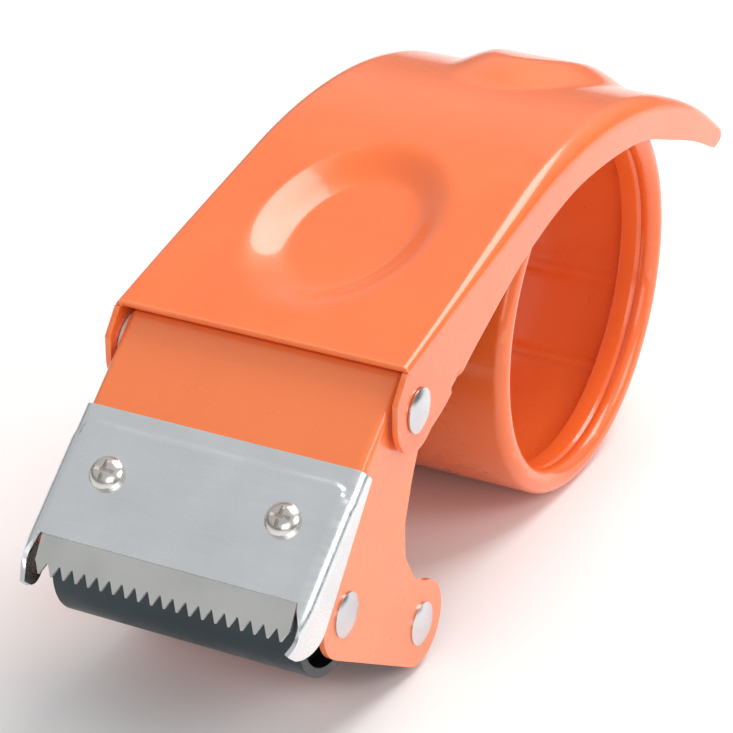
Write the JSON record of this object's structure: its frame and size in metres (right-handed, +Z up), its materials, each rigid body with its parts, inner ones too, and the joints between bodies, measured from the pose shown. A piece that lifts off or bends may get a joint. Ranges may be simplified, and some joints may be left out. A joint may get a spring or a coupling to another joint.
{
  "type": "packing tape cutter",
  "caption": "Hand-held packing-tape cutter of pressed steel: hub ring on one arm, hinged arched handle cover, two rollers, and a toothed blade under a bright clamp plate.",
  "frame": {"origin": "on the hub ring's axis, at mid-width of the tool", "axes": "+X forward to the blade, +Y to the open side that a roll slides on from, +Z up through the handle cover"},
  "size_m": [0.1684, 0.0566, 0.0749],
  "materials": {
    "orange_paint": "glossy powder coat",
    "zinc_plate": "satin zinc plate",
    "blade_steel": "ground strip steel",
    "bright_steel": "bright nickel plate",
    "plated_screw": "warm nickel plate",
    "roller_rubber": "smooth dark blue-black",
    "black_plastic": "moulded, fine grain",
    "nylon": "natural nylon"
  },
  "bodies": {
    "frame": {"nose_frame": "orange_paint", "hub_ring": "orange_paint", "hub_rivet_1": "bright_steel", "hub_rivet_2": "bright_steel", "hub_rivet_3": "bright_steel", "hinge_rivet_near": "bright_steel", "hinge_rivet_far": "bright_steel", "hinge_washer_near": "nylon", "hinge_washer_far": "nylon", "front_axle": "bright_steel", "rear_axle": "bright_steel", "front_spacer_near": "nylon", "front_spacer_far": "nylon", "rear_spacer_near": "nylon", "rear_spacer_far": "nylon", "blade": "blade_steel", "blade_cover": "zinc_plate", "blade_screw_near": "plated_screw", "blade_screw_far": "plated_screw", "blade_nut_near": "plated_screw", "blade_nut_far": "plated_screw"},
    "handle": {"handle_cover": "orange_paint"},
    "front_roller": {"front_roller": "roller_rubber", "front_bush_near": "black_plastic", "front_bush_far": "black_plastic"},
    "rear_roller": {"rear_roller": "black_plastic"}
  },
  "joints": [
    {"name": "handle_lift", "type": "hinge", "parent": "frame", "child": "handle", "pos_m": [0.0779, 0, 0.0159], "axis": [0, 1, 0], "range_deg": [0, 45]},
    {"name": "front_roller_spin", "type": "hinge", "parent": "frame", "child": "front_roller", "pos_m": [0.0994, 0, -0.011], "axis": [0, 1, 0], "continuous": true},
    {"name": "rear_roller_spin", "type": "hinge", "parent": "frame", "child": "rear_roller", "pos_m": [0.0728, 0, -0.0273], "axis": [0, 1, 0], "continuous": true}
  ]
}
